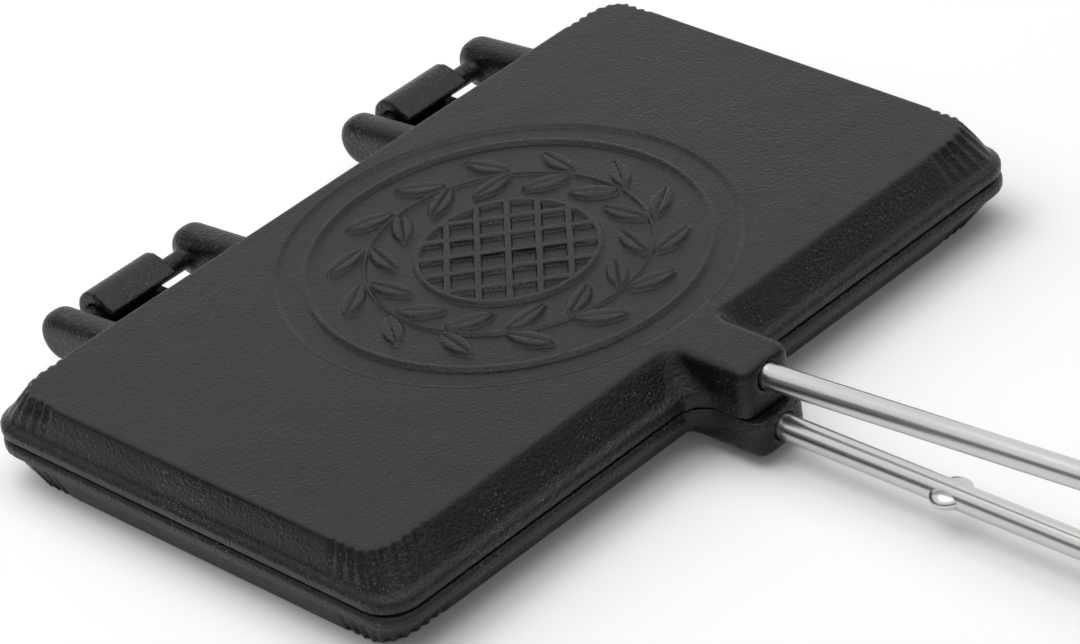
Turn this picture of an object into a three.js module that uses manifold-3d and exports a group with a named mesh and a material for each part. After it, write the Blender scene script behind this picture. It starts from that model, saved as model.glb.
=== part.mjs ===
// Cast iron waffle iron with long steel handles, for use over an open fire.
// Millimetres, +Z up. The origin is the centre of the flat back of the lower plate, the handles
// run towards +X and the hinges lie along the -X side.
import * as THREE from "three";
import Module from "manifold-3d";
import { mergeVertices } from "three/addons/utils/BufferGeometryUtils.js";

const wasm = await Module();
wasm.setup();

// Clearances
const runningGap = 0.4;
const seatGap = 0.3;
const overrun = 1.5;

// Plates
const plateLength = 240;
const plateWidth = 151;
const plateHeight = 14;
const partingGap = 0.4;
const rimCornerRadius = 10;
const rimFlangeHeight = 4.2;
const rimRound = 0.9;
const ledgeWidth = 2.2;
const ledgeRise = 0.8;
const waistHeight = 9.6;
const waistInset = { x: 5.5, y: 3.4 };
const backInset = { x: 8.8, y: 5.2 };
const backCornerRadius = 16;
const shoulderDrop = 1;
const shoulderShare = 0.7;
const fittingShift = 2.4;

// Flutes round each plate corner
const fluteCount = 11;
const stepsPerFlute = 4;
const fluteDepth = 2;
const fluteRunPastCorner = 16;
const fluteFade = 5;
const fluteLedgeShare = 0.1;
const fluteWaistShare = 0.6;
const fluteBackShare = 0.5;

// Waffle pockets
const rimLand = 12.5;
const pocketDepth = 9.4;
const pocketDraft = 2;
const pocketCornerRadius = 6;
const pegPitch = 20;
const pegBase = 13.6;
const pegTip = 10.8;
const pegHeight = 6.3;
const pegColumns = 6;
const pegRows = 10;
const pegSides = 4;

// Round medallion field on the back of the upper plate
const medallionRadius = 62.5;
const medallionDepth = 0.8;
const medallionDraft = 0.9;
const medallionRingRadius = 54.4;
const medallionRingWidth = 1.5;
const medallionRingHeight = 0.6;
const medallionSides = 48;

// Hinges
const hingeSpacing = 113.4;
const hingeReach = 13.9;
const hingeRise = 2.4;
const crossbarRadius = 3;
const crossbarFillet = 1.4;
const prongSpacing = 47.9;
const prongThickness = 9.6;
const prongTipRadius = 7.4;
const prongRound = 3.8;
const prongCrestAngle = THREE.MathUtils.degToRad(5.5);
const prongUnderReach = 11.9;
const hookLength = 23.6;
const hookShift = -2.2;
const hookRadius = 6.9;
const hookTopAngle = THREE.MathUtils.degToRad(65);
const hookTipReach = 5.4;
const hookTipThickness = 1.4;

// Handle lugs
const lugReach = 17.9;
const upperLugStepOut = -0.5;
const lowerLugStepOut = 2.6;
const lugHalfWidth = 9;
const lugCornerRadius = 3.4;
const lugEdgeRound = 1.8;
const lugRimFlare = 8.6;
const lugBackFlare = 4.2;
const upperLugHeight = 14.2;
const lowerLugHeight = 10.9;
const upperBoreHeight = 9.2;
const lowerBoreHeight = 4.7;

// Handle rods
const rodRadius = 3.5;
const rodInsertion = 23;
const rodReach = 420;
const rodTipChamfer = 0.7;
const upperRodAngle = THREE.MathUtils.degToRad(4.5);
const lowerRodAngle = THREE.MathUtils.degToRad(0.4);
const earPlace = 57;
const earLength = 10.5;
const earReach = 2.9;
const earThickness = 5.6;
const pinRadius = 1.5;
const pinSeatDepth = 0.7;
const pinRecess = 0.4;

// Grips and end fittings
const ferruleLength = 13;
const ferruleNoseRadius = 5.6;
const ferruleRimRadius = 9.4;
const gripLength = 112;
const gripFrontRadius = 9.1;
const gripSwellRadius = 11.3;
const gripWaistRadius = 9.6;
const gripRearRadius = 11;
const gripEdgeRound = 1.6;
const gripSwellShare = 0.36;
const gripWaistShare = 0.74;
const gripRearShare = 0.93;
const washerRadius = 9.2;
const washerThickness = 1.6;
const capLength = 19;
const capRadius = 8;
const capEdgeRound = 2;
const capThreadDepth = 9;
const knobNeckRadius = 5.6;
const knobNeckLength = 6;

// Closing bail
const bailWireRadius = 1.9;
const bailHalfWidth = 13.2;
const bailCornerRadius = 5;
const bailRestGap = 0.5;
const bailClearance = 1.2;

// Facets of round forms
const roundSides = 18;
const smallSides = 12;
const cornerSteps = 5;
const rimCornerSteps = 6;
const prongTipSteps = 8;
const prongRoundSteps = 4;
const hookSteps = 14;
const gripSteps = 11;
const quarterTurn = Math.PI / 2;

const castIron = { color: 0x2f2f31, roughness: 0.78, metalness: 0.35 };
const satinSteel = { color: 0xc9c8c6, roughness: 0.32, metalness: 1 };
const turnedSteel = { color: 0xb9b8b5, roughness: 0.28, metalness: 1 };
const oiledWood = { color: 0x8a5a34, roughness: 0.6, metalness: 0 };

const midHeight = plateHeight + partingGap / 2;
const hingeX = -plateWidth / 2 - hingeReach;
const lugEndX = plateWidth / 2 + lugReach;
const hingeZ = midHeight + hingeRise;
const hookBoreRadius = crossbarRadius + runningGap;
const rodBoreRadius = rodRadius + seatGap;

// Solids

// Copy with shared vertices merged and without the empty triangles on a turning axis
function welded(geometry) {
  const bare = new THREE.BufferGeometry();
  bare.setAttribute("position", geometry.getAttribute("position").clone());
  if (geometry.index) bare.setIndex(geometry.index.clone());
  const merged = mergeVertices(bare);
  const corners = merged.index.array;
  const kept = [];
  for (let first = 0; first < corners.length; first += 3) {
    const [a, b, c] = corners.subarray(first, first + 3);
    if (a !== b && b !== c && c !== a) kept.push(a, b, c);
  }
  merged.setIndex(kept);
  return merged;
}

function toSolid(geometry) {
  const closed = welded(geometry);
  return new wasm.Manifold(new wasm.Mesh({
    numProp: 3,
    vertProperties: new Float32Array(closed.getAttribute("position").array),
    triVerts: new Uint32Array(closed.index.array),
  }));
}

function toGeometry(solid) {
  const mesh = solid.getMesh();
  const geometry = new THREE.BufferGeometry();
  geometry.setAttribute("position", new THREE.BufferAttribute(mesh.vertProperties, 3));
  geometry.setIndex(new THREE.BufferAttribute(mesh.triVerts, 1));
  return geometry;
}

function join(first, ...others) {
  return others.reduce((sum, other) => sum.add(toSolid(other)), toSolid(first));
}

function cut(solid, ...cutters) {
  return cutters.reduce((rest, cutter) => rest.subtract(toSolid(cutter)), solid);
}

// Closed solid through rings of points that all have the same count
function loft(rings) {
  const count = rings[0].length;
  const positions = rings.flat().flatMap((point) => point.toArray());
  const indices = [];
  for (let ring = 0; ring + 1 < rings.length; ring++) {
    for (let step = 0; step < count; step++) {
      const here = ring * count + step;
      const next = ring * count + (step + 1) % count;
      indices.push(here, next, next + count, here, next + count, here + count);
    }
  }
  const flat = (ring) => ring.map((point) => new THREE.Vector2(point.x, point.y));
  const lastStart = (rings.length - 1) * count;
  for (const [a, b, c] of THREE.ShapeUtils.triangulateShape(flat(rings[0]), [])) {
    indices.push(a, c, b);
  }
  for (const [a, b, c] of THREE.ShapeUtils.triangulateShape(flat(rings.at(-1)), [])) {
    indices.push(lastStart + a, lastStart + b, lastStart + c);
  }
  const geometry = new THREE.BufferGeometry();
  geometry.setAttribute("position", new THREE.Float32BufferAttribute(positions, 3));
  geometry.setIndex(indices);
  return geometry;
}

// Solid of revolution along +X, from [distance, radius] pairs
function turned(profile, sides = roundSides) {
  const points = profile.map(([distance, radius]) => new THREE.Vector2(radius, distance));
  return welded(new THREE.LatheGeometry(points, sides).rotateZ(-quarterTurn));
}

function bar(radius, start, end, sides = roundSides) {
  return turned([[start, 0], [start, radius], [end, radius], [end, 0]], sides);
}

// Outline of a rectangle with round corners, anticlockwise
function roundedRectangle(width, length, radius, steps = cornerSteps) {
  const points = [];
  for (let corner = 0; corner < 4; corner++) {
    const signX = corner === 0 || corner === 3 ? 1 : -1;
    const signY = corner < 2 ? 1 : -1;
    for (let step = 0; step <= steps; step++) {
      const angle = (corner + step / steps) * quarterTurn;
      points.push(new THREE.Vector2(
        signX * (width / 2 - radius) + radius * Math.cos(angle),
        signY * (length / 2 - radius) + radius * Math.sin(angle),
      ));
    }
  }
  return points;
}

// Outside of a plate, from the parting face at height 0 to its back

// Rows of inset from the rim outline and height, round the rim flange and its ledge
function rimProfile() {
  return [
    { inset: rimRound, height: 0 },
    { inset: 0, height: rimRound },
    { inset: 0, height: rimFlangeHeight - rimRound },
    { inset: rimRound, height: rimFlangeHeight },
    { inset: ledgeWidth, height: rimFlangeHeight + ledgeRise },
  ];
}

// The same from the ledge to the back, with an inset on each axis and the share of the flute
// depth in each row. The long sides lean in further than the short ones, and the corners are
// rounder towards the back. Their radii are those of the rim outline, before the inset.
function slopeProfile() {
  const ledge = { x: ledgeWidth, y: ledgeWidth };
  const between = (share) => ({
    x: THREE.MathUtils.lerp(waistInset.x, backInset.x, share),
    y: THREE.MathUtils.lerp(waistInset.y, backInset.y, share),
  });
  const ledgeHeight = rimFlangeHeight + ledgeRise;
  const shoulderHeight = plateHeight - shoulderDrop;
  const rows = [
    { inset: ledge, height: ledgeHeight, flute: fluteLedgeShare },
    { inset: waistInset, height: waistHeight, flute: fluteWaistShare },
    {
      inset: between(shoulderShare / 2),
      height: (waistHeight + shoulderHeight) / 2,
      flute: 1,
    },
    { inset: between(shoulderShare), height: shoulderHeight, flute: 1 },
    { inset: backInset, height: plateHeight, flute: fluteBackShare },
  ];
  return rows.map((row) => {
    const share = (row.height - ledgeHeight) / (plateHeight - ledgeHeight);
    const radius = THREE.MathUtils.lerp(rimCornerRadius, backCornerRadius, share);
    return { ...row, radius };
  });
}

// Inset of the long sides at a height over the parting face
function insetAtHeight(height) {
  const slope = slopeProfile().slice(1).map((row) => ({ inset: row.inset.x, height: row.height }));
  const rows = [...rimProfile(), ...slope];
  const above = rows.findIndex((row, index) => index > 0 && row.height >= height);
  if (above < 0) return backInset.x;
  const low = rows[above - 1];
  const high = rows[above];
  const share = (height - low.height) / (high.height - low.height);
  return THREE.MathUtils.lerp(low.inset, high.inset, share);
}

// One corner of a row, with its flutes, which run on past the round corner to the same place
// in every row, so that they converge towards the back
function flutedCorner(corner, { inset, radius, flute }) {
  const signX = corner === 0 || corner === 3 ? 1 : -1;
  const signY = corner < 2 ? 1 : -1;
  const centre = new THREE.Vector2(
    signX * (plateWidth / 2 - radius),
    signY * (plateLength / 2 - radius),
  );
  const arc = (radius - (inset.x + inset.y) / 2) * quarterTurn;
  const run = fluteRunPastCorner + rimCornerRadius - radius;
  const total = arc + 2 * run;
  const steps = fluteCount * stepsPerFlute;
  const points = [];
  for (let step = 0; step <= steps; step++) {
    const place = total * step / steps;
    const turn = THREE.MathUtils.clamp((place - run) / arc, 0, 1);
    const before = Math.max(0, run - place);
    const after = Math.max(0, place - run - arc);
    const angle = (corner + turn) * quarterTurn;
    const outward = new THREE.Vector2(Math.cos(angle), Math.sin(angle));
    const along = new THREE.Vector2(-outward.y, outward.x);
    const fade = Math.min(1, place / fluteFade, (total - place) / fluteFade);
    const valley = 1 - Math.abs(Math.sin(Math.PI * step / stepsPerFlute));
    const groove = flute * fluteDepth * fade * valley;
    const reach = new THREE.Vector2(radius - inset.x - groove, radius - inset.y - groove);
    points.push(centre.clone().add(outward.multiply(reach)).addScaledVector(along, after - before));
  }
  return points;
}

function rimRing(inset, height) {
  return roundedRectangle(
    plateWidth - 2 * inset, plateLength - 2 * inset, rimCornerRadius - inset, rimCornerSteps,
  ).map((point) => new THREE.Vector3(point.x, point.y, height));
}

function slopeRing(row) {
  return [0, 1, 2, 3].flatMap((corner) => flutedCorner(corner, row))
    .map((point) => new THREE.Vector3(point.x, point.y, row.height));
}

// The fluted slope starts inside the rim flange, so that the two join in one body
function plateBody() {
  const rim = rimProfile().map((row) => rimRing(row.inset, row.height));
  const rows = slopeProfile();
  const buried = { ...rows[0], height: rimFlangeHeight - rimRound };
  return toGeometry(join(loft(rim), loft([buried, ...rows].map(slopeRing))));
}

// Inside of a plate

function pocketVoid() {
  const width = plateWidth - 2 * rimLand;
  const length = plateLength - 2 * rimLand;
  const ring = (shrink, height) => roundedRectangle(
    width - 2 * shrink, length - 2 * shrink, pocketCornerRadius - shrink,
  ).map((point) => new THREE.Vector3(point.x, point.y, height));
  const mouthGrowth = pocketDraft * overrun / pocketDepth;
  return loft([ring(-mouthGrowth, -overrun), ring(pocketDraft, pocketDepth)]);
}

// Square pegs that stand on the pocket floor and press the grid into the batter
function pegs() {
  const embed = overrun / 2;
  const height = pegHeight + embed;
  const footWidth = pegBase + (pegBase - pegTip) * embed / pegHeight;
  const pieces = [];
  for (let column = 0; column < pegColumns; column++) {
    for (let row = 0; row < pegRows; row++) {
      const peg = new THREE.CylinderGeometry(
        footWidth / Math.SQRT2, pegTip / Math.SQRT2, height, pegSides,
      );
      peg.rotateX(quarterTurn).rotateZ(quarterTurn / 2);
      peg.translate(
        (column - (pegColumns - 1) / 2) * pegPitch,
        (row - (pegRows - 1) / 2) * pegPitch,
        pocketDepth + embed - height / 2,
      );
      pieces.push(toSolid(peg));
    }
  }
  return wasm.Manifold.union(pieces);
}

// Lug that carries a handle rod, from the parting face at height 0 outwards
function lug(height, stepOut) {
  const ring = (level, shrink, flare) => {
    const half = lugHalfWidth - shrink;
    const end = lugEndX + stepOut - shrink;
    const corner = lugCornerRadius - shrink / 2;
    const root = plateWidth / 2 - insetAtHeight(level);
    const side = [new THREE.Vector2(root - rimLand / 2, half + flare)];
    for (let step = 0; step <= cornerSteps; step++) {
      const angle = quarterTurn * step / cornerSteps;
      side.push(new THREE.Vector2(
        root + flare * (1 - Math.cos(angle)),
        half + flare * (1 - Math.sin(angle)),
      ));
    }
    for (let step = 0; step <= cornerSteps; step++) {
      const angle = quarterTurn * (1 - step / cornerSteps);
      side.push(new THREE.Vector2(
        end - corner + corner * Math.cos(angle),
        half - corner + corner * Math.sin(angle),
      ));
    }
    const mirrored = side.map((point) => new THREE.Vector2(point.x, -point.y));
    return [...mirrored, ...side.reverse()]
      .map((point) => new THREE.Vector3(point.x, point.y, level));
  };
  const straightTop = height - lugEdgeRound;
  const midFlare = (lugRimFlare + lugBackFlare) / 2;
  return loft([
    ring(0, 0, lugRimFlare),
    ring(rimFlangeHeight, 0, lugRimFlare),
    ring((rimFlangeHeight + straightTop) / 2, 0, midFlare),
    ring(straightTop, 0, lugBackFlare),
    ring(height - lugEdgeRound / 3, lugEdgeRound / 3, lugBackFlare),
    ring(height, lugEdgeRound, lugBackFlare),
  ]);
}

// Bore for a rod and hole for its pin, in a lug whose parting face is at height 0.
// The rod leaves the lug turned away from the parting face by the given angle.
function rodBore(boreHeight, angle, stepOut) {
  return bar(rodBoreRadius, -rodInsertion - seatGap, stepOut + overrun)
    .rotateY(-angle)
    .translate(lugEndX, 0, boreHeight);
}

function pinHole(boreHeight, angle) {
  const end = rodRadius + pinSeatDepth + seatGap;
  return bar(pinRadius + seatGap, -boreHeight - overrun, end, smallSides)
    .rotateY(-quarterTurn)
    .translate(pinPlace(), 0, 0)
    .rotateY(-angle)
    .translate(lugEndX, 0, boreHeight);
}

// Place of a pin along its rod, measured from the end of the lug
function pinPlace() {
  return -rodInsertion / 2;
}

function plateInRough({ lugHeight, stepOut, boreHeight, angle }) {
  const shell = cut(join(plateBody(), lug(lugHeight, stepOut)), pocketVoid());
  return cut(
    shell.add(pegs()),
    rodBore(boreHeight, angle, stepOut),
    pinHole(boreHeight, angle),
  );
}

// Hinge parts, in the frame of the closed iron

// Arm of the upper plate, round about the hinge axis, whose crest rises into the plate's slope
function prong(y) {
  const core = prongTipRadius - prongRound;
  const root = hingeReach + rimLand - overrun - prongRound;
  const under = partingGap / 2 - hingeRise + seatGap + prongRound;
  const outline = new THREE.Shape();
  outline.moveTo(0, -core);
  outline.lineTo(prongUnderReach, under);
  outline.lineTo(root, under);
  outline.lineTo(root, core + root * Math.tan(prongCrestAngle));
  outline.lineTo(0, core);
  outline.absarc(0, 0, core, quarterTurn, 3 * quarterTurn, false);
  return new THREE.ExtrudeGeometry(outline, {
    depth: prongThickness - 2 * prongRound,
    bevelThickness: prongRound,
    bevelSize: prongRound,
    bevelSegments: prongRoundSteps,
    curveSegments: prongTipSteps,
  })
    .rotateX(quarterTurn)
    .translate(hingeX, y + prongThickness / 2 - prongRound, hingeZ);
}

function crossbar(y) {
  const half = (prongSpacing - prongThickness) / 2;
  const flared = crossbarRadius + crossbarFillet;
  return turned([
    [-half - prongThickness / 2, 0],
    [-half - prongThickness / 2, flared],
    [-half, flared],
    [-half + crossbarFillet / 3, crossbarRadius + crossbarFillet / 3],
    [-half + crossbarFillet, crossbarRadius],
    [half - crossbarFillet, crossbarRadius],
    [half - crossbarFillet / 3, crossbarRadius + crossbarFillet / 3],
    [half, flared],
    [half + prongThickness / 2, flared],
    [half + prongThickness / 2, 0],
  ])
    .rotateZ(quarterTurn)
    .translate(hingeX, y, hingeZ);
}

// Open hook of the lower plate. Its floor carries a crossbar, and it curls up round the outer
// side of the bar and over it to a thin tip that points at the rim.
function hook(y) {
  const outward = new THREE.Vector2(Math.cos(hookTopAngle), Math.sin(hookTopAngle));
  const along = new THREE.Vector2(outward.y, -outward.x);
  const tipRadius = hookTipThickness / 2;
  const tip = along.clone().multiplyScalar(hookTipReach)
    .addScaledVector(outward, hookRadius - tipRadius);
  const root = hingeReach + rimRound + overrun;
  const outline = new THREE.Shape();
  outline.moveTo(root, -hookRadius);
  outline.lineTo(root, -hookBoreRadius);
  outline.absarc(0, 0, hookBoreRadius, 3 * quarterTurn, hookTopAngle, true);
  outline.absarc(tip.x, tip.y, tipRadius, hookTopAngle - 2 * quarterTurn, hookTopAngle, false);
  outline.absarc(0, 0, hookRadius, hookTopAngle, 3 * quarterTurn, false);
  return new THREE.ExtrudeGeometry(outline, {
    depth: hookLength,
    bevelEnabled: false,
    curveSegments: hookSteps,
  })
    .rotateX(quarterTurn)
    .translate(hingeX, y + hookShift + hookLength / 2, hingeZ);
}

const hingePlaces = [fittingShift - hingeSpacing / 2, fittingShift + hingeSpacing / 2];

// Turns a plate drawn from its parting face upwards into the lower plate of the closed iron
function lowerPlateGeometry() {
  const rough = plateInRough({
    lugHeight: lowerLugHeight,
    stepOut: lowerLugStepOut,
    boreHeight: lowerBoreHeight,
    angle: -lowerRodAngle,
  });
  const flipped = toGeometry(rough).scale(1, 1, -1).translate(0, 0, plateHeight);
  flipped.index.array.reverse();
  return toGeometry(join(flipped, ...hingePlaces.map(hook)));
}

// Sunk round field with one thin raised ring
function medallionField() {
  const rise = overrun;
  const growth = medallionDraft * rise / medallionDepth;
  return turned([
    [plateHeight - medallionDepth, 0],
    [plateHeight - medallionDepth, medallionRadius - medallionDraft],
    [plateHeight + rise, medallionRadius + growth],
    [plateHeight + rise, 0],
  ], medallionSides).rotateY(-quarterTurn).translate(0, fittingShift, 0);
}

function medallionRing() {
  const floor = plateHeight - medallionDepth;
  const half = medallionRingWidth / 2;
  return turned([
    [floor - overrun / 2, medallionRingRadius - half],
    [floor - overrun / 2, medallionRingRadius + half],
    [floor, medallionRingRadius + half],
    [floor + medallionRingHeight, medallionRingRadius + half / 3],
    [floor + medallionRingHeight, medallionRingRadius - half / 3],
    [floor, medallionRingRadius - half],
    [floor - overrun / 2, medallionRingRadius - half],
  ], medallionSides).rotateY(-quarterTurn).translate(0, fittingShift, 0);
}

function upperPlateGeometry() {
  const rough = plateInRough({
    lugHeight: upperLugHeight,
    stepOut: upperLugStepOut,
    boreHeight: upperBoreHeight,
    angle: upperRodAngle,
  });
  const marked = cut(rough, medallionField()).add(toSolid(medallionRing()));
  const plate = toGeometry(marked);
  plate.translate(0, 0, plateHeight + partingGap);
  const prongPlaces = hingePlaces.flatMap((y) => [y - prongSpacing / 2, y + prongSpacing / 2]);
  return toGeometry(join(
    plate,
    ...prongPlaces.map(prong),
    ...hingePlaces.map(crossbar),
  ));
}

// Handles, each in its own frame: the origin is where the rod leaves its lug, +X along the rod

// Pair of ears that a press has squeezed out of the sides of a rod
function ears(place) {
  return new THREE.SphereGeometry(1, smallSides, smallSides / 2)
    .scale(earLength / 2, rodRadius + earReach, earThickness / 2)
    .translate(place, 0, 0);
}

function ferruleStart() {
  return rodReach - capThreadDepth - washerThickness - gripLength - ferruleLength - 3 * seatGap;
}

function rodGeometry(hasStopEars) {
  const stem = turned([
    [-rodInsertion, 0],
    [-rodInsertion, rodRadius - rodTipChamfer],
    [-rodInsertion + rodTipChamfer, rodRadius],
    [rodReach - rodTipChamfer, rodRadius],
    [rodReach, rodRadius - rodTipChamfer],
    [rodReach, 0],
  ]);
  const pairs = [ears(ferruleStart() - seatGap - earLength / 2)];
  if (hasStopEars) pairs.push(ears(earPlace));
  const hole = bar(pinRadius + seatGap, -rodRadius - overrun, rodRadius + overrun, smallSides)
    .rotateY(-quarterTurn)
    .translate(pinPlace(), 0, 0);
  return toGeometry(cut(join(stem, ...pairs), hole));
}

function pinGeometry(boreHeight) {
  return bar(pinRadius, pinRecess - boreHeight, rodRadius + pinSeatDepth, smallSides)
    .rotateY(-quarterTurn);
}

function ferruleGeometry() {
  return turned([
    [0, rodBoreRadius],
    [0, ferruleNoseRadius],
    [ferruleLength / 4, (ferruleNoseRadius + ferruleRimRadius) / 2],
    [ferruleLength * 3 / 4, ferruleRimRadius],
    [ferruleLength, ferruleRimRadius],
    [ferruleLength, rodBoreRadius],
    [0, rodBoreRadius],
  ]);
}

// Turned wooden grip, bored for the rod
function gripGeometry() {
  const swell = new THREE.SplineCurve([
    new THREE.Vector2(gripEdgeRound, gripFrontRadius),
    new THREE.Vector2(gripLength * gripSwellShare, gripSwellRadius),
    new THREE.Vector2(gripLength * gripWaistShare, gripWaistRadius),
    new THREE.Vector2(gripLength * gripRearShare, gripRearRadius),
    new THREE.Vector2(gripLength - gripEdgeRound, gripRearRadius - gripEdgeRound / 2),
  ]);
  return turned([
    [0, rodBoreRadius],
    [0, gripFrontRadius - gripEdgeRound],
    ...swell.getPoints(gripSteps).map((point) => point.toArray()),
    [gripLength, gripRearRadius - 2 * gripEdgeRound],
    [gripLength, rodBoreRadius],
    [0, rodBoreRadius],
  ]);
}

function washerGeometry() {
  return turned([
    [0, rodBoreRadius],
    [0, washerRadius],
    [washerThickness, washerRadius],
    [washerThickness, rodBoreRadius],
    [0, rodBoreRadius],
  ]);
}

// Cap that screws on the end of the lower rod and carries the bail in a cross bore
function bailCapGeometry() {
  const threadEnd = capThreadDepth + seatGap;
  const body = turned([
    [threadEnd, 0],
    [threadEnd, rodBoreRadius],
    [0, rodBoreRadius],
    [0, capRadius],
    [capLength - capEdgeRound, capRadius],
    [capLength, capRadius - capEdgeRound],
    [capLength, 0],
  ]);
  const reach = capRadius + overrun;
  const bore = bar(bailWireRadius + runningGap, -reach, reach, smallSides)
    .rotateZ(quarterTurn)
    .translate(bailPlace(), 0, 0);
  return toGeometry(cut(toSolid(body), bore));
}

// Place of the bail's axis along the cap
function bailPlace() {
  return (capThreadDepth + capLength) / 2;
}

// Knob that screws on the end of the upper rod, with a neck that the bail drops behind
function knobGeometry() {
  const threadEnd = capThreadDepth + seatGap;
  const neckEnd = capEdgeRound + knobNeckLength;
  return turned([
    [threadEnd, 0],
    [threadEnd, rodBoreRadius],
    [0, rodBoreRadius],
    [0, capRadius],
    [capEdgeRound / 2, capRadius],
    [capEdgeRound, knobNeckRadius],
    [neckEnd, knobNeckRadius],
    [neckEnd + capEdgeRound, capRadius],
    [capLength - capEdgeRound, capRadius],
    [capLength, capRadius - capEdgeRound],
    [capLength, 0],
  ]);
}

// Closed loop of round wire, in its own XY plane, with its axis side on the Y axis
function bailGeometry(length) {
  const centreLine = roundedRectangle(length, 2 * bailHalfWidth, bailCornerRadius, cornerSteps - 1);
  const count = centreLine.length;
  const rings = centreLine.map((point, index) => {
    const corner = Math.floor(index / cornerSteps);
    const angle = (corner + (index % cornerSteps) / (cornerSteps - 1)) * quarterTurn;
    const outward = new THREE.Vector3(Math.cos(angle), Math.sin(angle), 0);
    const centre = new THREE.Vector3(point.x + length / 2, point.y, 0);
    return Array.from({ length: smallSides }, (_, side) => {
      const turn = 2 * Math.PI * side / smallSides;
      return centre.clone()
        .addScaledVector(outward, bailWireRadius * Math.cos(turn))
        .add(new THREE.Vector3(0, 0, bailWireRadius * Math.sin(turn)));
    });
  });
  const indices = [];
  for (let ring = 0; ring < count; ring++) {
    for (let side = 0; side < smallSides; side++) {
      const nextRing = (ring + 1) % count;
      const nextSide = (side + 1) % smallSides;
      const a = ring * smallSides + side;
      const b = nextRing * smallSides + side;
      const c = nextRing * smallSides + nextSide;
      const d = ring * smallSides + nextSide;
      indices.push(a, b, c, a, c, d);
    }
  }
  const geometry = new THREE.BufferGeometry();
  const positions = rings.flat().flatMap((point) => point.toArray());
  geometry.setAttribute("position", new THREE.Float32BufferAttribute(positions, 3));
  geometry.setIndex(indices);
  return geometry;
}

// Assembly

const iron = new THREE.Group();

function addPiece(parent, name, geometry, finish) {
  geometry.computeVertexNormals();
  const mesh = new THREE.Mesh(geometry, new THREE.MeshStandardMaterial(finish));
  mesh.name = name;
  parent.add(mesh);
  return mesh;
}

// Everything on one rod, from its pin to its end cap. Returns the handle's group and the place
// of the end cap along it.
function addHandle({ side, height, angle, pin, rod, endCap }) {
  const handle = new THREE.Group();
  handle.position.set(lugEndX, 0, height);
  handle.rotation.y = -angle;
  iron.add(handle);
  addPiece(handle, `${side}_handle_rod`, rod, satinSteel);
  addPiece(handle, `${side}_rod_pin`, pin, turnedSteel).position.x = pinPlace();
  const ferrulePlace = ferruleStart();
  const gripPlace = ferrulePlace + ferruleLength + seatGap;
  const washerPlace = gripPlace + gripLength + seatGap;
  const capPlace = washerPlace + washerThickness + seatGap;
  const ferrule = addPiece(handle, `${side}_grip_ferrule`, ferruleGeometry(), turnedSteel);
  ferrule.position.x = ferrulePlace;
  addPiece(handle, `${side}_wooden_grip`, gripGeometry(), oiledWood).position.x = gripPlace;
  addPiece(handle, `${side}_grip_washer`, washerGeometry(), turnedSteel).position.x = washerPlace;
  addPiece(handle, `${side}_end_cap`, endCap, turnedSteel).position.x = capPlace;
  handle.updateWorldMatrix(true, false);
  return { handle, capPlace };
}

// The bail is just long enough to pass over the upper knob, and lies back behind the handles
function addBail(lower, upper) {
  const pivot = lower.handle.localToWorld(
    new THREE.Vector3(lower.capPlace + bailPlace(), 0, 0),
  );
  const knobCorner = upper.handle.localToWorld(
    new THREE.Vector3(upper.capPlace + capLength - capEdgeRound, 0, capRadius),
  );
  const length = pivot.distanceTo(knobCorner) + bailWireRadius + bailClearance;
  const bail = addPiece(iron, "closing_bail", bailGeometry(length), turnedSteel);
  bail.position.copy(pivot);
  bail.rotation.y = Math.asin((pivot.z - bailWireRadius - bailRestGap) / length);
}

addPiece(iron, "lower_plate", lowerPlateGeometry(), castIron);
addPiece(iron, "upper_plate", upperPlateGeometry(), castIron);

const lowerHandle = addHandle({
  side: "lower",
  height: plateHeight - lowerBoreHeight,
  angle: lowerRodAngle,
  pin: pinGeometry(lowerBoreHeight).rotateX(2 * quarterTurn),
  rod: rodGeometry(true),
  endCap: bailCapGeometry(),
});
const upperHandle = addHandle({
  side: "upper",
  height: plateHeight + partingGap + upperBoreHeight,
  angle: upperRodAngle,
  pin: pinGeometry(upperBoreHeight),
  rod: rodGeometry(false),
  endCap: knobGeometry(),
});
addBail(lowerHandle, upperHandle);

export default iron;
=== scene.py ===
"""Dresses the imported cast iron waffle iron: seasoned castings with a relief medallion, drawn
steel handles, turned fittings and oiled grips, on a white studio floor."""

import math

import bmesh
import bpy
import numpy as np
from mathutils import Matrix, Vector


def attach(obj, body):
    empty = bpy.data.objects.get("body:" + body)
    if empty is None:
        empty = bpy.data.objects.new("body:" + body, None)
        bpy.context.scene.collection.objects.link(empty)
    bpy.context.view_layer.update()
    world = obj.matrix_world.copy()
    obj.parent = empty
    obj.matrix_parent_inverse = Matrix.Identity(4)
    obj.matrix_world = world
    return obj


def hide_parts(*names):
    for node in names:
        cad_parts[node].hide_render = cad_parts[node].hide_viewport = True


bl_info = {
    "name": "Waffle Iron",
    "version": (1, 0, 0),
    "blender": (4, 5, 0),
    "location": "3D View > Sidebar > Waffle Iron",
    "description": "Dresses the waffle iron's castings, handles and fittings",
    "category": "Object",
}

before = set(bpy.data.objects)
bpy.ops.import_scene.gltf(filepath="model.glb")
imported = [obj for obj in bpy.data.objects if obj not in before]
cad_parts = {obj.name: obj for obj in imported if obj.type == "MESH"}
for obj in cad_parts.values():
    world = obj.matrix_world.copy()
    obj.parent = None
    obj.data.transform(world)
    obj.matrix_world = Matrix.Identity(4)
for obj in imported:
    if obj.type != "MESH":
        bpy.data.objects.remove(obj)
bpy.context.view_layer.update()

MM = 0.001
SIDES = ("lower", "upper")
WHITE = (1, 1, 1, 1)
MERGE_DISTANCE = 0.001 * MM
WELD_DISTANCE = 0.002 * MM

# Facets of round forms
TURNED_STEPS = 64
EAR_STEPS_ROUND = 40
EAR_STEPS_ALONG = 24
WIRE_SIDES = 20
BEND_STEPS = 10
CURTAIN_STEPS = 48

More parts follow.
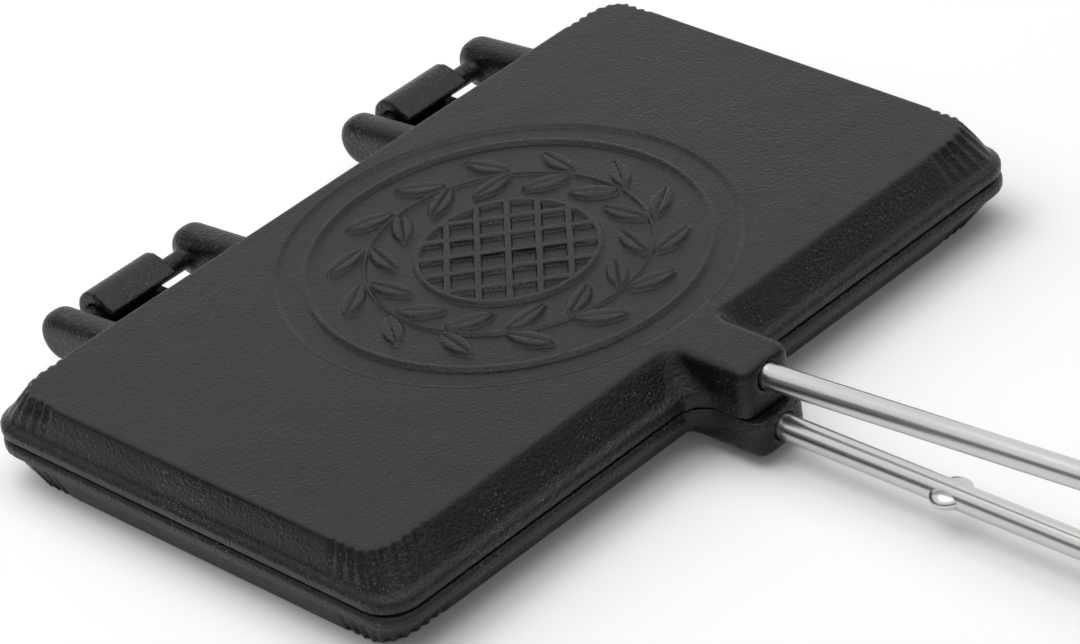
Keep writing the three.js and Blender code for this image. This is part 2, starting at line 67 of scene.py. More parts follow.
# Heights over the table between which the skin of the castings changes: the flat back gets a
# calmer grain and few painted glints, and a band round the rims gets a painted sheen
FLAT_BACK = (26.2 * MM, 27.4 * MM)
RIM_FOOT = (8.5 * MM, 11.5 * MM)
RIM_TOP = (17.5 * MM, 21 * MM)

# Outlines of the turned pieces, as (distance along the handle, radius) in millimetres
BORE = 3.8
FERRULE = (
    (283.5, BORE), (283.5, 5.6), (286.7, 7.5), (293.2, 9.4), (296.5, 9.4), (296.5, BORE),
    (283.5, BORE),
)
WASHER = ((409.1, BORE), (409.1, 9.2), (410.7, 9.2), (410.7, BORE), (409.1, BORE))
END_CAPS = {
    "lower": ((420.3, 0), (420.3, BORE), (411, BORE), (411, 8), (428, 8), (430, 6), (430, 0)),
    "upper": (
        (420.3, 0), (420.3, BORE), (411, BORE), (411, 8), (412, 8), (413, 5.6),
        (419, 5.6), (421, 8), (428, 8), (430, 6), (430, 0),
    ),
}
GRIP = (
    (296.8, BORE), (296.8, 7.5), (298.4, 9.1), (308.8, 10.0), (322.8, 10.9), (336.8, 11.3),
    (352.8, 11.0), (368.8, 10.1), (379.8, 9.6), (389.8, 10.2), (398.8, 10.95), (404.8, 10.9),
    (407.4, 10.2), (408.8, 7.8), (408.8, BORE), (296.8, BORE),
)


def number(name, description, value, **limits):
    return bpy.props.FloatProperty(name=name, description=description, default=value, **limits)


def count(name, description, value):
    return bpy.props.IntProperty(name=name, description=description, default=value, min=0)


def millimetres(name, description, value):
    return number(name, description, value * MM, unit="LENGTH", precision=4)


def degrees(name, description, value):
    return number(name, description, math.radians(value), subtype="ANGLE")


def colour(name, description, value):
    return bpy.props.FloatVectorProperty(
        name=name, description=description, default=value, size=3, subtype="COLOR", min=0, max=1
    )


def point(name, description, value):
    return bpy.props.FloatVectorProperty(
        name=name, description=description, default=value, size=3, subtype="TRANSLATION",
        precision=4,
    )


class CastingSettings(bpy.types.PropertyGroup):
    """Sizes and colours of the two iron plates"""

    voxel: millimetres("Voxel", "Grid that rounds the cast edges", 0.6)
    rounding: count("Rounding", "Smoothing passes on the cast edges", 2)
    kept_share: number("Kept share", "Share of the faces kept", 0.3, min=0.1, max=1)
    iron: colour("Iron", "Seasoned iron", (0.0055, 0.0055, 0.0057))
    oiled_iron: colour("Oiled iron", "Darker, glossier patches", (0.0028, 0.0028, 0.003))
    # Painted sheen: a brighter colour on the rims that stands in for the white floor's reflection
    rim_sheen: colour("Rim sheen", "Rims that are rubbed brighter", (0.018, 0.018, 0.018))
    # Painted glints: bright dots coloured into the skin that stand in for light caught by the
    # grain
    painted_glints: colour("Specks", "Bright grit strewn over the slopes", (0.17, 0.167, 0.163))
    roughness: number("Roughness", "Of the seasoned skin", 0.36, min=0, max=1)
    gloss: number("Gloss", "How much light the skin mirrors", 0.27, min=0, max=1)
    grain: millimetres("Grain", "Height of the cast grain", 0.28)


class MedallionSettings(bpy.types.PropertyGroup):
    """Sizes of the relief on the back of the upper plate"""

    radius: millimetres("Radius", "Edge of the sunk field", 62.5)
    depth: millimetres("Depth", "Depth of the field's floor", 0.7)
    back: millimetres("Back", "Height of the upper plate's back over the table", 28.4)
    shift: millimetres("Shift", "Of the field's centre along the plate", 2.4)
    draft: millimetres("Draft", "Width of the field's sloping edge", 0.9)
    margin: millimetres("Margin", "Width of the piece outside the field", 0.9)
    lift: millimetres("Lift", "Height of that margin over the plate", 0.04)
    relief: millimetres("Relief", "Height of the raised figures", 1)
    edge: millimetres("Edge", "Width of the figures' sloping edges", 0.38)
    ring_radius: millimetres("Ring radius", "Of the raised ring round all figures", 54.4)
    ring_width: millimetres("Ring width", "Of the raised rings", 1.5)
    wreath_radius: millimetres("Wreath radius", "Of the stem between the leaves", 38.5)
    stem_width: millimetres("Stem width", "Of the wreath's stem", 0.9)
    stem_share: number("Stem share", "Height of the stem against the leaves", 0.8, min=0, max=1)
    leaf_pairs: count("Leaf pairs", "Round the wreath", 14)
    leaf_offset: millimetres("Leaf offset", "Of a leaf's middle from the stem", 5.2)
    leaf_length: millimetres("Leaf length", "From tip to tip", 15)
    leaf_width: millimetres("Leaf width", "Across the middle", 5.6)
    leaf_tilt: number("Leaf tilt", "Of a leaf against the stem", 0.62, subtype="ANGLE")
    vein_width: millimetres("Vein width", "Groove along the middle of a leaf", 0.6)
    vein_depth: number("Vein depth", "Share of the leaf's height", 0.65, min=0, max=1)
    roundel_radius: millimetres("Roundel radius", "Of the ring round the lattice", 24.5)
    lattice_radius: millimetres("Lattice radius", "Where the lattice ends", 24)
    lattice_pitch: millimetres("Lattice pitch", "From bar to bar", 8.2)
    lattice_bar: millimetres("Lattice bar", "Width of a bar", 2)
    rows: count("Rows", "Of faces from the centre to the margin", 180)
    steps: count("Steps", "Of faces round the centre", 480)


class HandleSettings(bpy.types.PropertyGroup):
    """Places, sizes and colours of the handles. Places run along a handle from its lug."""

    lug_end: millimetres("Lug end", "Where the handles start, along the iron", 93.4)
    lower_height: millimetres("Lower height", "Lower rod at its lug", 9.3)
    upper_height: millimetres("Upper height", "Upper rod at its lug", 23.6)
    lower_angle: degrees("Lower angle", "Rise of the lower rod", 0.4)
    upper_angle: degrees("Upper angle", "Rise of the upper rod", 4.5)
    rod_radius: millimetres("Rod radius", "Of the drawn bar", 3.5)
    rod_start: millimetres("Rod start", "Place of its end inside the lug", -23)
    rod_end: millimetres("Rod end", "Place of its end inside the end cap", 420)
    rod_edge: millimetres("Rod edge", "Bevel of its ends", 0.7)
    lower_mouth: millimetres("Lower mouth", "Lower lug's face along its rod", 2.6)
    upper_mouth: millimetres("Upper mouth", "Upper lug's face along its rod", -0.5)
    bead: millimetres("Bead", "Height of the bead on a rod at its lug's face", 0.15)
    lug_ears: millimetres("Lug ears", "Place of the lower rod's first ears", 57)
    grip_ears: millimetres("Grip ears", "Place of the ears that seat a ferrule", 279)
    ear_length: millimetres("Ear length", "Of a pair of pressed ears along the rod", 10.5)
    ear_width: millimetres("Ear width", "From tip to tip", 12.8)
    ear_thickness: millimetres("Ear thickness", "Of the pressed steel", 5.6)
    fitting_edge: millimetres("Fitting edge", "Rounding of the turned steel", 0.35)
    grip_edge: millimetres("Grip edge", "Rounding of the grips", 0.6)
    bail_place: millimetres("Bail place", "Of the bail's axis along the lower handle", 425)
    bail_length: millimetres("Bail length", "From its axis to its far side", 56)
    bail_half_width: millimetres("Bail half width", "To the middle of the wire", 13.2)
    bail_corner: millimetres("Bail corner", "Bend of the wire", 5)
    bail_wire: millimetres("Bail wire", "Radius of the wire", 1.9)
    bail_rest_gap: millimetres("Bail rest gap", "Under the bail when it lies back", 0.5)
    steel: colour("Steel", "Drawn and turned steel", (0.64, 0.632, 0.62))
    wood: colour("Wood", "Oiled wood", (0.24, 0.115, 0.05))
    dark_wood: colour("Dark wood", "Pores and late growth", (0.085, 0.036, 0.015))


class StageSettings(bpy.types.PropertyGroup):
    """Floor, light and camera"""

    floor: colour("Floor", "Studio floor", (0.97, 0.97, 0.97))
    floor_reach: millimetres("Floor reach", "From the iron to the floor's edge", 12000)
    floor_lift: number("Floor lift", "Glow that keeps the lit floor white", 0.035, min=0)
    white_from: millimetres("White from", "Where the floor begins to fade to white", 650)
    white_lift: number("White lift", "Glow of the floor where it is all white", 0.5, min=0)
    curtain: colour("Curtain", "Dark cloth beside the set", (0.36, 0.36, 0.36))
    curtain_radius: millimetres("Curtain radius", "From the iron to the cloth", 2600)
    curtain_height: millimetres("Curtain height", "Of the cloth over the floor", 1300)
    curtain_start: degrees("Curtain start", "Where the cloth begins, round the iron", -85)
    curtain_sweep: degrees("Curtain sweep", "How far the cloth reaches round the iron", 230)
    key_power: number("Key power", "Soft light on the left", 13.5, unit="POWER")
    key_size: millimetres("Key size", "Width of the light on the left", 2000)
    key_place: point("Key place", "Of the light on the left", (-0.9, -0.35, 1.25))
    overhead_power: number("Overhead power", "Wide light overhead", 19, unit="POWER")
    overhead_size: millimetres("Overhead size", "Width of the light overhead", 2400)
    overhead_place: point("Overhead place", "Of the light overhead", (0.0, 0.1, 1.9))
    sky: number("Sky", "Strength of the light from all round", 0.35, min=0)
    mirrored_sky: number("Mirrored sky", "Strength of the sky as steel shows it", 1, min=0)
    target: point("Target", "Point at the middle of the picture", (-0.00174, 0.01067, 0))
    distance: millimetres("Distance", "From the target to the camera", 1262.5)
    azimuth: degrees("Azimuth", "Camera's place round the iron", 48.72)
    elevation: degrees("Elevation", "Camera's height over the floor", 33.04)
    roll: degrees("Roll", "Turn of the camera about its view", -9.56)
    lens: number("Lens", "Focal length", 157.4, unit="CAMERA")
    sensor: number("Sensor", "Width of the camera's sensor", 36, unit="CAMERA")


# Shader expressions


class Signal:
    """A value that changes over a surface. Python's operators on it add Math nodes."""

    def __init__(self, finish, socket):
        self.finish = finish
        self.socket = socket

    def math(self, operation, *values):
        return self.finish.node("ShaderNodeMath", {"operation": operation}, *values)

    def __add__(self, other):
        return self.math("ADD", self, other)

    def __sub__(self, other):
        return self.math("SUBTRACT", self, other)

    def __rsub__(self, other):
        return self.math("SUBTRACT", other, self)

    def __mul__(self, other):
        return self.math("MULTIPLY", self, other)

    __radd__ = __add__

    def between(self, low, high):
        """0 below low, 1 above high, and smooth between them"""
        return self.finish.node(
            "ShaderNodeMapRange", {"interpolation_type": "SMOOTHSTEP"}, self, low, high
        )


class Finish:
    """A material, or the world, with its nodes"""

    def __init__(self, name, library=None):
        library = bpy.data.materials if library is None else library
        self.material = library.new(name)
        self.material.use_nodes = True
        self.tree = self.material.node_tree
        self.tree.nodes.clear()

    def node(self, kind, settings=None, *values, output=0, **named):
        """Adds a node with its settings, and values or signals in its sockets"""
        made = self.tree.nodes.new(kind)
        for key, value in (settings or {}).items():
            setattr(made, key, value)
        pairs = [(made.inputs[index], value) for index, value in enumerate(values)]
        pairs += [(made.inputs[key.replace("_", " ")], value) for key, value in named.items()]
        for socket, value in pairs:
            if isinstance(value, Signal):
                self.tree.links.new(value.socket, socket)
            else:
                socket.default_value = value
        return Signal(self, made.outputs[output]) if made.outputs else None

    def place(self, scale=(1, 1, 1)):
        """Object coordinates, stretched"""
        coordinates = self.node("ShaderNodeTexCoord", output="Object")
        return self.node("ShaderNodeMapping", None, Vector=coordinates, Scale=scale)

    def noise(self, place, scale, detail, roughness):
        return self.node(
            "ShaderNodeTexNoise", None, Vector=place, Scale=scale, Detail=detail,
            Roughness=roughness,
        )

    def cells(self, place, scale):
        return self.node("ShaderNodeTexVoronoi", None, Vector=place, Scale=scale)

    def mix(self, share, first, second):
        """A colour between two colours"""
        made = self.tree.nodes.new("ShaderNodeMix")
        made.data_type = "RGBA"
        self.tree.links.new(share.socket, made.inputs[0])
        colours = [socket for socket in made.inputs if socket.type == "RGBA"]
        for socket, value in zip(colours, (first, second)):
            if isinstance(value, Signal):
                self.tree.links.new(value.socket, socket)
            else:
                socket.default_value = (*value, 1)
        result = next(socket for socket in made.outputs if socket.type == "RGBA")
        return Signal(self, result)

    def seen(self):
        """1 on rays that come straight from the camera"""
        return self.node("ShaderNodeLightPath", output="Is Camera Ray")

    def shown(self):
        """1 where the camera sees a surface, straight or in a mirror, 0 where it only lights"""
        mirrored = self.node("ShaderNodeLightPath", output="Is Glossy Ray")
        through = self.node("ShaderNodeLightPath", output="Is Transmission Ray")
        return self.seen() + mirrored + through

    def surface(self, base, roughness, height, distance, metallic=0.0, **constants):
        """Ends the material in one shader, with bump from a height in metres"""
        bump = self.node("ShaderNodeBump", None, Height=height, Distance=distance, Strength=1.0)
        shader = self.node(
            "ShaderNodeBsdfPrincipled", None, Base_Color=base, Roughness=roughness,
            Metallic=metallic, Normal=bump, **constants,
        )
        self.node("ShaderNodeOutputMaterial", None, shader)
        return self.material


def dimmed(tint, share):
    return tuple(share * part for part in tint)


def cast_iron(name):
    """Seasoned iron: a pebbled sand-cast skin with oiled patches, a painted sheen on the rims
    and painted glints on the slopes. The skin is calmer on the flat back, where hardly a glint is
    painted."""
    settings = bpy.context.scene.iron_castings
    finish = Finish(name)
    place = finish.place()
    pebbles = finish.noise(place, scale=850, detail=3, roughness=0.6)
    grains = finish.cells(place, scale=1100)
    grit = finish.noise(place, scale=1600, detail=2, roughness=0.7)
    waves = finish.noise(place, scale=60, detail=3, roughness=0.5)
    patches = finish.noise(place, scale=14, detail=4, roughness=0.6).between(0.42, 0.66)
    level = finish.node("ShaderNodeSeparateXYZ", None, place, output="Z")
    sides = 1.0 - level.between(*FLAT_BACK)
    # Band round the rims that gets the painted sheen
    sheen_band = level.between(*RIM_FOOT) - level.between(*RIM_TOP)
    # Painted glints, in clusters, mostly on the slopes
    glint_clusters = finish.noise(place, scale=55, detail=3, roughness=0.6).between(0.43, 0.6)
    painted_glints = grit.between(0.62, 0.7) * glint_clusters * (sides * 0.9 + 0.1)
    base = finish.mix(patches, settings.iron, settings.oiled_iron)
    # Painted sheen on the rims, then painted glints over the slopes
    base = finish.mix(sheen_band * 0.6, base, settings.rim_sheen)
    base = finish.mix(painted_glints, base, settings.painted_glints)
    roughness = settings.roughness + (pebbles - 0.5) * 0.25 - patches * 0.1
    height = (pebbles * 0.9 - grains * 0.45 + grit * 0.35) * (sides * 0.4 + 0.6) + waves * 1.2
    return finish.surface(
        base, roughness, height, settings.grain, Specular_IOR_Level=settings.gloss
    )


def drawn_steel(name):
    """Bright bar with fine lines drawn along its length"""
    settings = bpy.context.scene.iron_handles
    finish = Finish(name)
    lines = finish.noise(finish.place((12, 1500, 1500)), scale=1, detail=3, roughness=0.6)
    smudges = finish.noise(finish.place((25, 90, 90)), scale=1, detail=3, roughness=0.55)
    base = finish.mix(smudges, settings.steel, dimmed(settings.steel, 0.82))
    roughness = 0.15 + lines * 0.14 + smudges * 0.06
    return finish.surface(base, roughness, lines, 0.01 * MM, metallic=1.0)


def turned_steel(name):
    """Steel with fine rings left by the lathe"""
    settings = bpy.context.scene.iron_handles
    finish = Finish(name)
    rings = finish.noise(finish.place((2600, 8, 8)), scale=1, detail=2, roughness=0.6)
    smudges = finish.noise(finish.place(), scale=120, detail=3, roughness=0.55)
    base = finish.mix(smudges, dimmed(settings.steel, 0.82), dimmed(settings.steel, 1.02))
    roughness = 0.24 + rings * 0.14 + smudges * 0.08
    return finish.surface(base, roughness, rings, 0.012 * MM, metallic=1.0)


def oiled_wood(name):
    """Turned wood with its grain along the grip"""
    settings = bpy.context.scene.iron_handles
    finish = Finish(name)
    figure = finish.node(
        "ShaderNodeTexWave", {"wave_type": "RINGS", "rings_direction": "X"},
        Vector=finish.place((2.2, 95, 95)), Scale=1.0, Distortion=5.0, Detail=3.0,
        Detail_Scale=1.2, Detail_Roughness=0.6,
    )
    cloud = finish.noise(finish.place((6, 60, 60)), scale=1, detail=4, roughness=0.6)
    grooves = finish.noise(finish.place((90, 1500, 1500)), scale=1, detail=2, roughness=0.6)
    pores = grooves.between(0.56, 0.7)
    tone = (figure * 0.55 + cloud * 0.45).between(0.25, 0.8)
    base = finish.mix(tone, settings.wood, settings.dark_wood)
    base = finish.mix(pores * 0.6, base, dimmed(settings.dark_wood, 0.5))
    roughness = 0.42 + cloud * 0.12 + pores * 0.2
    height = 1.0 - pores * 0.8 + figure * 0.15
    return finish.surface(base, roughness, height, 0.08 * MM)


FINISHES = {
    "cast_iron": cast_iron,
    "rod_steel": drawn_steel,
    "turned_steel": turned_steel,
    "oiled_wood": oiled_wood,
}


# Pieces


def coat(piece, slot):
    """Gives a piece the finish of its slot, which is made the first time it is asked for"""
    name = f"{slot} finish"
    material = bpy.data.materials.get(name) or FINISHES[slot](name)
    piece.data.materials.clear()
    piece.data.materials.append(material)


def add_object(name, mesh):
    """Makes a bmesh an object of the scene"""
    data = bpy.data.meshes.new(name)
    mesh.to_mesh(data)
    mesh.free()
    made = bpy.data.objects.new(name, data)
    bpy.context.scene.collection.objects.link(made)
    return made


def add_piece(name, mesh, body, slot, *replaced):
    """Makes a bmesh one finished piece that rides on a body and stands for CAD nodes"""
    bmesh.ops.recalc_face_normals(mesh, faces=mesh.faces)
    piece = add_object(name, mesh)
    piece.data.shade_smooth()
    coat(piece, slot)
    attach(piece, body)
    if replaced:
        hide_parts(*replaced)
    return piece


def add_turned(side, name, mesh, slot, node):
    """Puts a body that was turned round +X on the handle of a side, for that side's CAD node"""
    settings = bpy.context.scene.iron_handles
    bmesh.ops.transform(mesh, matrix=handle_matrix(settings, side), verts=mesh.verts)
    return add_piece(f"{side}_{name}", mesh, f"{side}_half", slot, f"{side}_{node}")


def handle_matrix(settings, side):
    """From a handle's own frame, with +X along it from its lug, to the iron's"""
    height = getattr(settings, f"{side}_height")
    angle = getattr(settings, f"{side}_angle")
    return Matrix.Translation((settings.lug_end, 0, height)) @ Matrix.Rotation(-angle, 4, "Y")


def swept_round(points, axis, steps):
    """The surface that a line through the points sweeps in one turn round an axis"""
    mesh = bmesh.new()
    verts = [mesh.verts.new(place) for place in points]
    edges = [mesh.edges.new(pair) for pair in zip(verts, verts[1:])]
    bmesh.ops.spin(
        mesh, geom=verts + edges, cent=(0, 0, 0), axis=axis, dvec=(0, 0, 0),
        angle=2 * math.pi, steps=steps, use_merge=True, use_duplicate=False,
    )
    bmesh.ops.remove_doubles(mesh, verts=mesh.verts, dist=MERGE_DISTANCE)
    return mesh


def turned(profile):
    """The body with an outline of (distance, radius) pairs in millimetres round +X"""
    points = [(distance * MM, 0, radius * MM) for distance, radius in profile]
    return swept_round(points, (1, 0, 0), TURNED_STEPS)


def round_edges(piece, width):
    """Softens a piece's edges as a file or a lathe tool leaves them"""
    bevel = piece.modifiers.new("Edges", "BEVEL")
    bevel.width = width
    bevel.segments = 3
    bevel.limit_method = "ANGLE"
    bevel.angle_limit = math.radians(28)
    bevel.harden_normals = True


class IRON_OT_castings(bpy.types.Operator):
    """Round the cast edges of both plates and season them"""

    bl_idname = "waffle_iron.castings"
    bl_label = "Cast plates"

    def execute(self, context):
        settings = context.scene.iron_castings
        for side in SIDES:
            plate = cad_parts[f"{side}_plate"]
            weld = plate.modifiers.new("Weld", "WELD")
            weld.merge_threshold = WELD_DISTANCE
            remesh = plate.modifiers.new("Cast skin", "REMESH")
            remesh.mode = "VOXEL"
            remesh.voxel_size = settings.voxel
            remesh.use_smooth_shade = True
            smooth = plate.modifiers.new("Cast edges", "SMOOTH")
            smooth.factor = 0.5
            smooth.iterations = settings.rounding
            thin = plate.modifiers.new("Fewer faces", "DECIMATE")
            thin.ratio = settings.kept_share
            coat(plate, "cast_iron")
        return {"FINISHED"}


def slope(distance, edge):
    """1 inside a figure, 0 outside it, smooth over its edge. Distance is positive inside."""
    share = np.clip(distance / edge + 0.5, 0, 1)
    return share * share * (3 - 2 * share)


def leaf_height(x, y, angle, sign, settings):
    """Height of a grooved leaf at an angle round the wreath, outside the stem where sign is 1
    and inside it where sign is -1, as a share of the relief"""
    middle = settings.wreath_radius + sign * settings.leaf_offset
    tilt = sign * settings.leaf_tilt
    across = x * math.cos(angle) + y * math.sin(angle) - middle
    along = y * math.cos(angle) - x * math.sin(angle)
    u = along * math.cos(tilt) + across * math.sin(tilt)
    v = np.abs(across * math.cos(tilt) - along * math.sin(tilt))
    inside = settings.leaf_width / 2 * (1 - (2 * u / settings.leaf_length) ** 2) - v
    vein = slope(settings.vein_width / 2 - v, settings.edge)
    return slope(inside, settings.edge) * (1 - settings.vein_depth * vein)


def lattice_height(x, y, settings):
    """Height of two sets of bars that cross at right angles, as a share of the relief"""
    pitch = settings.lattice_pitch
    bars = 0
    for line in ((x + y) / math.sqrt(2), (y - x) / math.sqrt(2)):
        offset = np.abs((line / pitch + 0.5) % 1 - 0.5) * pitch
        bars = np.maximum(bars, slope(settings.lattice_bar / 2 - offset, settings.edge))
    return bars * slope(settings.lattice_radius - np.hypot(x, y), settings.edge)


def medallion_height(x, y, settings):
    """Height of the medallion over the back of the plate, at points in metres"""
    radius = np.hypot(x, y)

    def ring(middle, width):
        return slope(width / 2 - np.abs(radius - middle), settings.edge)

    figures = [
        ring(settings.ring_radius, settings.ring_width),
        ring(settings.roundel_radius, settings.ring_width),
        ring(settings.wreath_radius, settings.stem_width) * settings.stem_share,
        lattice_height(x, y, settings),
    ]
    for index in range(settings.leaf_pairs):
        angle = 2 * math.pi * (index + 0.5) / settings.leaf_pairs
        figures += [leaf_height(x, y, angle, sign, settings) for sign in (-1, 1)]
    raised = np.maximum.reduce(figures)
    field = slope(settings.radius - settings.draft / 2 - radius, settings.draft)
    return settings.lift * (1 - field) + field * (raised * settings.relief - settings.depth)


class IRON_OT_medallion(bpy.types.Operator):
    """Lay the relief medallion in the back of the upper plate"""

    bl_idname = "waffle_iron.medallion"
    bl_label = "Medallion"

    def execute(self, context):
        settings = context.scene.iron_medallion
        reach = settings.radius + settings.margin
        rows = settings.rows
        points = [(reach * row / rows, 0, 0) for row in range(rows + 1)]
        mesh = swept_round(points, (0, 0, 1), settings.steps)
        x = np.array([vert.co.x for vert in mesh.verts])
        y = np.array([vert.co.y for vert in mesh.verts])
        for vert, height in zip(mesh.verts, medallion_height(x, y, settings)):
            vert.co.y += settings.shift
            vert.co.z = settings.back + height
        piece = add_piece("medallion_relief", mesh, "upper_half", "cast_iron")
        if sum(face.normal.z for face in piece.data.polygons) < 0:
            piece.data.flip_normals()
        return {"FINISHED"}


class IRON_OT_rods(bpy.types.Operator):
    """Draw the two handle rods with their pressed ears"""

    bl_idname = "waffle_iron.rods"
    bl_label = "Handle rods"

    def execute(self, context):
        settings = context.scene.iron_handles
        ear = Matrix.Diagonal(
            (settings.ear_length / 2, settings.ear_width / 2, settings.ear_thickness / 2, 1)
        )
        for side in SIDES:
            mesh = turned(self.profile(settings, side))
            places = [settings.grip_ears] + [settings.lug_ears] * (side == "lower")
            for place in places:
                bmesh.ops.create_uvsphere(
                    mesh, u_segments=EAR_STEPS_ROUND, v_segments=EAR_STEPS_ALONG, radius=1,
                    matrix=Matrix.Translation((place, 0, 0)) @ ear,
                )
            add_turned(side, "rod", mesh, "rod_steel", "handle_rod")
        return {"FINISHED"}

    def profile(self, settings, side):
        """Outline of a rod in millimetres. Points half a millimetre beside its edges keep the
        shading of the long stretches straight."""
        start, end, edge, radius, bead, mouth = (
            getattr(settings, name) / MM
            for name in ("rod_start", "rod_end", "rod_edge", "rod_radius", "bead", f"{side}_mouth")
        )
        beside = 0.5
        bead_start, bead_end, bead_slope = mouth - 2, mouth + 0.2, 1
        return [
            (start, 0), (start, radius - edge), (start + edge, radius),
            (start + edge + beside, radius),
            (bead_start - bead_slope - beside, radius), (bead_start - bead_slope, radius),
            (bead_start, radius + bead), (bead_end, radius + bead),
            (bead_end + bead_slope, radius), (bead_end + bead_slope + beside, radius),
            (end - edge - beside, radius),
            (end - edge, radius), (end, radius - edge), (end, 0),
        ]


class IRON_OT_fittings(bpy.types.Operator):
    """Turn the ferrules, washers, end cap and end knob, and finish the pins in turned steel"""

    bl_idname = "waffle_iron.fittings"
    bl_label = "Turned fittings"

    def execute(self, context):
        settings = context.scene.iron_handles
        for side in SIDES:
            for node, profile in (
                ("grip_ferrule", FERRULE), ("grip_washer", WASHER), ("end_cap", END_CAPS[side]),
            ):
                piece = add_turned(
                    side, f"{node}_turned", turned(profile), "turned_steel", node
                )
                round_edges(piece, settings.fitting_edge)
            coat(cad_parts[f"{side}_rod_pin"], "turned_steel")
        return {"FINISHED"}


class IRON_OT_grips(bpy.types.Operator):
    """Turn the two wooden grips"""

    bl_idname = "waffle_iron.grips"
    bl_label = "Wooden grips"

    def execute(self, context):
        settings = context.scene.iron_handles
        for side in SIDES:
            piece = add_turned(side, "grip_turned", turned(GRIP), "oiled_wood", "wooden_grip")
            round_edges(piece, settings.grip_edge)
        return {"FINISHED"}


class IRON_OT_bail(bpy.types.Operator):
    """Bend the closing bail from round wire"""

    bl_idname = "waffle_iron.bail"
    bl_label = "Closing bail"

    def execute(self, context):
        settings = context.scene.iron_handles
        length, half_width = settings.bail_length, settings.bail_half_width
        corner, wire = settings.bail_corner, settings.bail_wire
        reach = half_width - corner
        mesh = bmesh.new()
        stand = Matrix.Translation((0, -reach, 0)) @ Matrix.Rotation(math.pi / 2, 4, "X")
        ring = bmesh.ops.create_circle(
            mesh, segments=WIRE_SIDES, radius=wire, matrix=stand
        )["verts"]
        for side, centre in enumerate((
            (corner, reach), (length - corner, reach),
            (length - corner, -reach), (corner, -reach),
        )):
            run = (length if side % 2 else 2 * half_width) - 2 * corner
            step = Matrix.Rotation(-side * math.pi / 2, 3, "Z") @ Vector((0, run, 0))
            made = bmesh.ops.extrude_edge_only(mesh, edges=self.edges_of(ring))["geom"]
            ring = self.verts_of(made)
            bmesh.ops.translate(mesh, verts=ring, vec=step)
            made = bmesh.ops.spin(
                mesh, geom=ring + self.edges_of(ring), cent=(*centre, 0), axis=(0, 0, 1),
                dvec=(0, 0, 0), angle=-math.pi / 2, steps=BEND_STEPS, use_duplicate=False,
            )["geom_last"]
            ring = self.verts_of(made)
        bmesh.ops.remove_doubles(mesh, verts=mesh.verts, dist=MERGE_DISTANCE)
        pivot = handle_matrix(settings, "lower") @ Vector((settings.bail_place, 0, 0))
        drop = math.asin((pivot.z - wire - settings.bail_rest_gap) / length)
        rest = Matrix.Translation(pivot) @ Matrix.Rotation(drop, 4, "Y")
        bmesh.ops.transform(mesh, matrix=rest, verts=mesh.verts)
        add_piece("bail_loop", mesh, "bail", "turned_steel", "closing_bail")
        return {"FINISHED"}

    def verts_of(self, geometry):
        return [item for item in geometry if isinstance(item, bmesh.types.BMVert)]

    def edges_of(self, verts):
        """The edges that run between the given vertices"""
        ring = set(verts)
        edges = {edge for vert in verts for edge in vert.link_edges}
        return [edge for edge in edges if ring.issuperset(edge.verts)]


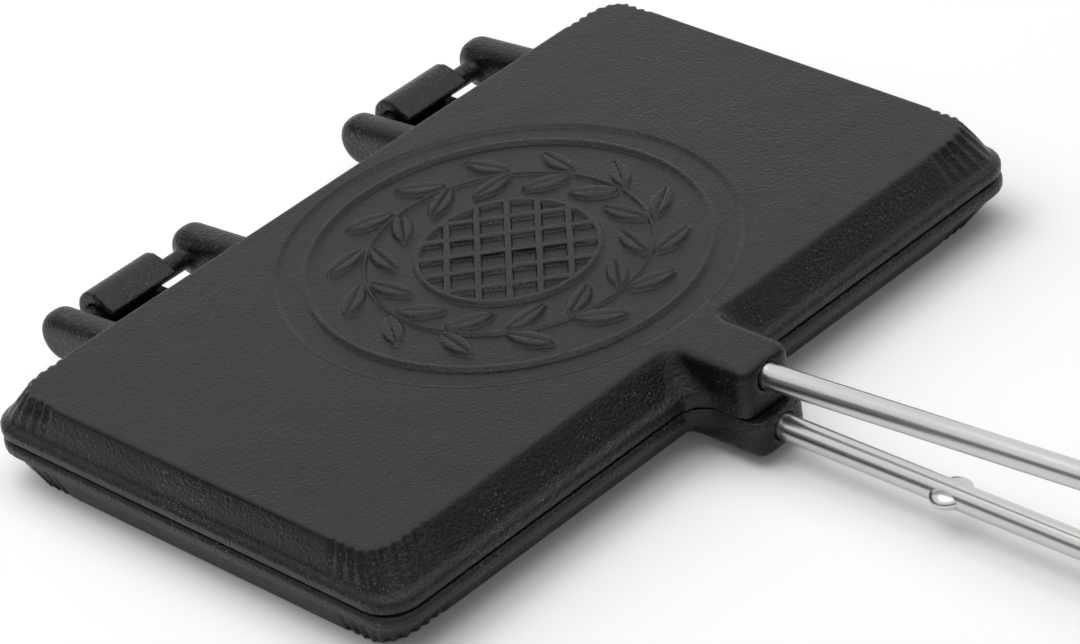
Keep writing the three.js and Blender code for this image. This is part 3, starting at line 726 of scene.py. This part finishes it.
class IRON_OT_stage(bpy.types.Operator):
    """Set the white floor, the soft lights and the camera"""

    bl_idname = "waffle_iron.stage"
    bl_label = "Stage"

    def execute(self, context):
        settings = context.scene.iron_stage
        self.add_floor(settings)
        self.add_curtain(settings)
        self.add_lights(settings)
        self.add_sky(settings)
        self.add_camera(settings)
        context.scene.view_settings.view_transform = "Standard"
        return {"FINISHED"}

    def add_floor(self, settings):
        """A lit white floor with a glow that grows with the distance from the iron"""
        mesh = bmesh.new()
        bmesh.ops.create_grid(mesh, x_segments=1, y_segments=1, size=settings.floor_reach)
        floor = add_object("studio_floor", mesh)
        finish = Finish("studio floor")
        away = finish.node(
            "ShaderNodeVectorMath", {"operation": "LENGTH"}, finish.place(), output="Value"
        )
        whiteness = away.between(settings.white_from, 3 * settings.white_from)
        strength = finish.shown() * (whiteness * settings.white_lift + settings.floor_lift)
        lit = finish.node("ShaderNodeBsdfDiffuse", None, Color=(*settings.floor, 1))
        glow = finish.node("ShaderNodeEmission", None, Color=WHITE, Strength=strength)
        both = finish.node("ShaderNodeAddShader", None, lit, glow)
        finish.node("ShaderNodeOutputMaterial", None, both)
        floor.data.materials.append(finish.material)

    def add_curtain(self, settings):
        """A dark cloth that the camera doesn't see, which gives the steel its dark line"""
        mesh = bmesh.new()
        turn = Matrix.Rotation(settings.curtain_start, 3, "Z")
        foot = turn @ Vector((0, -settings.curtain_radius, 0))
        top = foot + Vector((0, 0, settings.curtain_height))
        ends = [mesh.verts.new(foot), mesh.verts.new(top)]
        bmesh.ops.spin(
            mesh, geom=ends + [mesh.edges.new(ends)], cent=(0, 0, 0), axis=(0, 0, 1),
            dvec=(0, 0, 0), angle=settings.curtain_sweep, steps=CURTAIN_STEPS,
            use_duplicate=False,
        )
        curtain = add_object("studio_curtain", mesh)
        finish = Finish("studio curtain")
        cloth = finish.node("ShaderNodeBsdfDiffuse", None, Color=(*settings.curtain, 1))
        clear = finish.node("ShaderNodeBsdfTransparent")
        both = finish.node("ShaderNodeMixShader", None, finish.seen(), cloth, clear)
        finish.node("ShaderNodeOutputMaterial", None, both)
        curtain.data.materials.append(finish.material)

    def add_lights(self, settings):
        """Two round lights that point at the iron. Mirrors show only the one overhead."""
        for name, group, mirrored in (
            ("left key light", "key", False), ("overhead light", "overhead", True),
        ):
            light = bpy.data.lights.new(name, "AREA")
            light.shape = "DISK"
            light.size = getattr(settings, f"{group}_size")
            light.energy = getattr(settings, f"{group}_power")
            place = Vector(getattr(settings, f"{group}_place"))
            lamp = bpy.data.objects.new(name, light)
            lamp.location = place
            lamp.rotation_euler = (-place).to_track_quat("-Z", "Y").to_euler()
            lamp.visible_glossy = mirrored
            bpy.context.scene.collection.objects.link(lamp)

    def add_sky(self, settings):
        """An even sky, brighter where the camera or a mirror shows it"""
        finish = Finish("studio sky", bpy.data.worlds)
        more = settings.mirrored_sky - settings.sky
        strength = settings.sky + finish.shown() * more
        light = finish.node("ShaderNodeBackground", None, Color=WHITE, Strength=strength)
        finish.node("ShaderNodeOutputWorld", None, light)
        bpy.context.scene.world = finish.material

    def add_camera(self, settings):
        azimuth, elevation = settings.azimuth, settings.elevation
        back = Vector((
            math.sin(azimuth) * math.cos(elevation),
            -math.cos(azimuth) * math.cos(elevation),
            math.sin(elevation),
        ))
        level = Vector((0, 0, 1)).cross(back).normalized()
        upright = back.cross(level)
        right = math.cos(settings.roll) * level + math.sin(settings.roll) * upright
        up = math.cos(settings.roll) * upright - math.sin(settings.roll) * level
        data = bpy.data.cameras.new("camera")
        data.lens = settings.lens
        data.sensor_width = settings.sensor
        data.clip_start = 0.01
        data.clip_end = 100
        camera = bpy.data.objects.new("camera", data)
        turn = Matrix((right, up, back)).transposed().to_4x4()
        place = Vector(settings.target) + back * settings.distance
        camera.matrix_world = Matrix.Translation(place) @ turn
        bpy.context.scene.collection.objects.link(camera)
        bpy.context.scene.camera = camera


class IRON_PT_panel(bpy.types.Panel):
    """Shows the settings of the waffle iron and makes its pieces"""

    bl_label = "Waffle Iron"
    bl_idname = "IRON_PT_panel"
    bl_space_type = "VIEW_3D"
    bl_region_type = "UI"
    bl_category = "Waffle Iron"

    def draw(self, context):
        layout = self.layout
        for group, kind in SETTINGS.items():
            box = layout.box()
            for name in kind.__annotations__:
                box.prop(getattr(context.scene, group), name)
        for operator in OPERATORS:
            layout.operator(operator.bl_idname)


OPERATORS = (
    IRON_OT_stage, IRON_OT_castings, IRON_OT_medallion, IRON_OT_rods, IRON_OT_fittings,
    IRON_OT_grips, IRON_OT_bail,
)
SETTINGS = {
    "iron_castings": CastingSettings,
    "iron_medallion": MedallionSettings,
    "iron_handles": HandleSettings,
    "iron_stage": StageSettings,
}


def register():
    for name, group in SETTINGS.items():
        bpy.utils.register_class(group)
        setattr(bpy.types.Scene, name, bpy.props.PointerProperty(type=group))
    for kind in (*OPERATORS, IRON_PT_panel):
        bpy.utils.register_class(kind)


def unregister():
    for kind in reversed((*OPERATORS, IRON_PT_panel)):
        bpy.utils.unregister_class(kind)
    for name, group in SETTINGS.items():
        delattr(bpy.types.Scene, name)
        bpy.utils.unregister_class(group)


def main():
    register()
    for operator in OPERATORS:
        group, name = operator.bl_idname.split(".")
        getattr(getattr(bpy.ops, group), name)()


if __name__ == "__main__":
    main()
